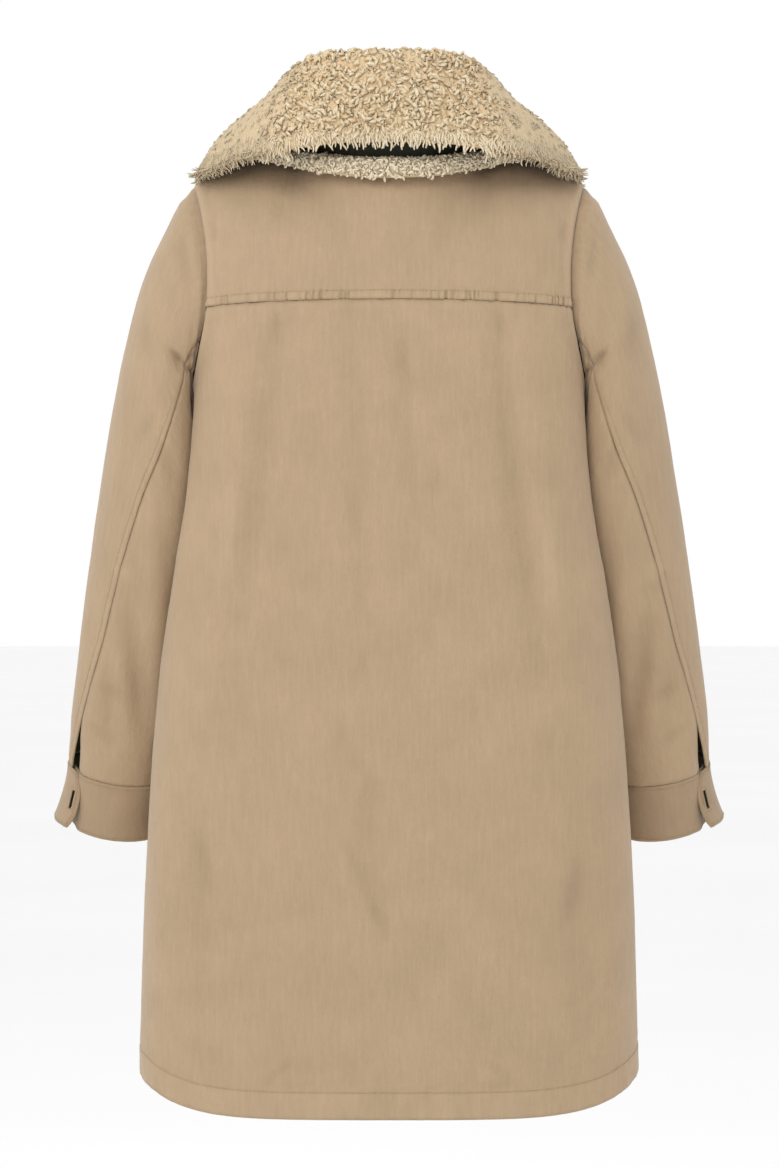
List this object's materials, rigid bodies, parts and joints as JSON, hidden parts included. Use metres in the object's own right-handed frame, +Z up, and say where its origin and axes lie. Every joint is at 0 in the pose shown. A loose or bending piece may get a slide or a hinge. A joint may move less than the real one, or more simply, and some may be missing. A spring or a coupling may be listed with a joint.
{
  "type": "parka",
  "caption": "Roomy thigh-length cotton parka, worn and hollow, with a wide shearling collar, a back yoke, a curved hem and unbuttoned cuffs over slit sleeves.",
  "frame": {"origin": "on the middle plane at the height of the back neck seam, between the shoulders, where the wearer's neck and shoulders hold the parka", "axes": "+Z up, +Y towards the back, +X towards the wearer's left"},
  "size_m": [0.6824, 0.3203, 1.037],
  "materials": {
    "cotton": "matt washed cotton",
    "shearling": "curly pile",
    "shearling_edge": "short pile",
    "dark_cloth": "matt dark green cotton",
    "button": "polished horn brown"
  },
  "bodies": {
    "root": {"back": "cotton", "back_yoke": "cotton", "front_left": "cotton", "front_right": "cotton", "sleeve_upper_left": "cotton", "sleeve_under_left": "cotton", "cuff_left": "cotton", "cuff_button_left": "button", "sleeve_upper_right": "cotton", "sleeve_under_right": "cotton", "cuff_right": "cotton", "cuff_button_right": "button", "collar": "shearling", "collar_stand": "dark_cloth", "neck_roll": "shearling_edge", "front_button_1": "button", "front_button_2": "button", "front_button_3": "button", "front_button_4": "button", "front_button_5": "button"}
  },
  "joints": []
}
